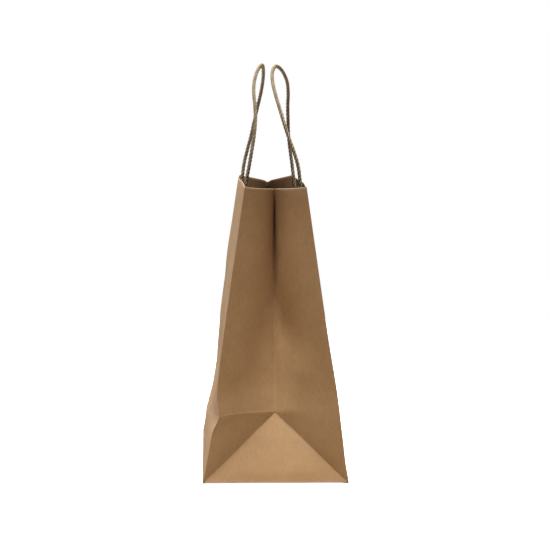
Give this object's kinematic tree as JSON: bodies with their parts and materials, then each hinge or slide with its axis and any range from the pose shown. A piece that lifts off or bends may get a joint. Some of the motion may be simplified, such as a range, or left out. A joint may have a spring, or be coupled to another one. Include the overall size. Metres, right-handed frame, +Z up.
{
  "type": "gift bag",
  "caption": "Plain brown kraft paper gift bag, standing open, with twisted paper handles and tucked-in side gussets.",
  "frame": {"origin": "middle of the underside, on the table", "axes": "+X along the broad walls, +Y from the front wall to the rear wall, +Z up"},
  "size_m": [0.4062, 0.1524, 0.4375],
  "materials": {
    "kraft_paper": "matt uncoated kraft paper",
    "kraft_paper_inside": "matt uncoated kraft paper, inner face",
    "kraft_strip": "matt glued kraft strip",
    "twisted_paper_cord": "tightly twisted kraft paper"
  },
  "bodies": {
    "bottom": {"rear_bottom_flap": "kraft_paper", "front_bottom_flap": "kraft_paper", "right_bottom_end_flap": "kraft_paper", "left_bottom_end_flap": "kraft_paper"},
    "front_wall": {"front_panel": "kraft_paper", "front_panel_hem": "kraft_paper_inside", "front_handle_outer_strip": "kraft_strip", "front_handle_inner_strip": "kraft_strip", "front_handle_right_foot": "twisted_paper_cord", "front_handle_left_foot": "twisted_paper_cord"},
    "rear_wall": {"rear_panel": "kraft_paper", "rear_panel_hem": "kraft_paper_inside", "rear_handle_outer_strip": "kraft_strip", "rear_handle_inner_strip": "kraft_strip", "rear_handle_right_foot": "twisted_paper_cord", "rear_handle_left_foot": "twisted_paper_cord", "side_seam_flap": "kraft_paper"},
    "right_front_gusset": {"right_gusset_front_half": "kraft_paper", "right_gusset_front_flank": "kraft_paper", "right_gusset_front_hem": "kraft_paper_inside"},
    "right_rear_gusset": {"right_gusset_rear_half": "kraft_paper", "right_gusset_rear_flank": "kraft_paper", "right_gusset_rear_hem": "kraft_paper_inside"},
    "right_foot": {"right_gusset_foot_triangle": "kraft_paper"},
    "left_front_gusset": {"left_gusset_front_half": "kraft_paper", "left_gusset_front_flank": "kraft_paper", "left_gusset_front_hem": "kraft_paper_inside"},
    "left_rear_gusset": {"left_gusset_rear_half": "kraft_paper", "left_gusset_rear_flank": "kraft_paper", "left_gusset_rear_hem": "kraft_paper_inside"},
    "left_foot": {"left_gusset_foot_triangle": "kraft_paper"},
    "front_loop": {"front_handle": "twisted_paper_cord"},
    "rear_loop": {"rear_handle": "twisted_paper_cord"}
  },
  "joints": [
    {"name": "front_wall_opening", "type": "hinge", "parent": "bottom", "child": "front_wall", "pos_m": [0, -0.0762, 0], "axis": [1, 0, 0], "range_deg": [0, 3]},
    {"name": "rear_wall_opening", "type": "hinge", "parent": "bottom", "child": "rear_wall", "pos_m": [0, 0.0762, 0], "axis": [-1, 0, 0], "range_deg": [0, 3]},
    {"name": "right_front_gusset_fold", "type": "hinge", "parent": "front_wall", "child": "right_front_gusset", "pos_m": [0.2032, -0.0762, 0], "axis": [0, -0.1426, -0.9898], "range_deg": [0, 14.1]},
    {"name": "left_front_gusset_fold", "type": "hinge", "parent": "front_wall", "child": "left_front_gusset", "pos_m": [-0.2032, -0.0762, 0], "axis": [0, 0.1426, 0.9898], "range_deg": [0, 14.1]},
    {"name": "right_rear_gusset_fold", "type": "hinge", "parent": "rear_wall", "child": "right_rear_gusset", "pos_m": [0.2032, 0.0762, 0], "axis": [0, -0.1426, 0.9898], "range_deg": [0, 14.1]},
    {"name": "left_rear_gusset_fold", "type": "hinge", "parent": "rear_wall", "child": "left_rear_gusset", "pos_m": [-0.2032, 0.0762, 0], "axis": [0, 0.1426, -0.9898], "range_deg": [0, 14.1]},
    {"name": "right_foot_fold", "type": "hinge", "parent": "bottom", "child": "right_foot", "pos_m": [0.2032, 0, 0], "axis": [0, 1, 0], "range_deg": [0, 12.75]},
    {"name": "left_foot_fold", "type": "hinge", "parent": "bottom", "child": "left_foot", "pos_m": [-0.2032, 0, 0], "axis": [0, -1, 0], "range_deg": [0, 12.75]},
    {"name": "front_handle_swing", "type": "hinge", "parent": "front_wall", "child": "front_loop", "pos_m": [0, -0.02979, 0.31157], "axis": [1, 0, 0], "range_deg": [0, 130]},
    {"name": "rear_handle_swing", "type": "hinge", "parent": "rear_wall", "child": "rear_loop", "pos_m": [0, 0.02979, 0.31157], "axis": [-1, 0, 0], "range_deg": [0, 130]}
  ],
  "couplings": [
    {"joint": "rear_wall_opening", "follows": "front_wall_opening", "ratio": 1},
    {"joint": "right_front_gusset_fold", "follows": "front_wall_opening", "ratio": 4.7},
    {"joint": "left_front_gusset_fold", "follows": "front_wall_opening", "ratio": 4.7},
    {"joint": "right_rear_gusset_fold", "follows": "front_wall_opening", "ratio": 4.7},
    {"joint": "left_rear_gusset_fold", "follows": "front_wall_opening", "ratio": 4.7},
    {"joint": "right_foot_fold", "follows": "front_wall_opening", "ratio": 4.25},
    {"joint": "left_foot_fold", "follows": "front_wall_opening", "ratio": 4.25}
  ]
}
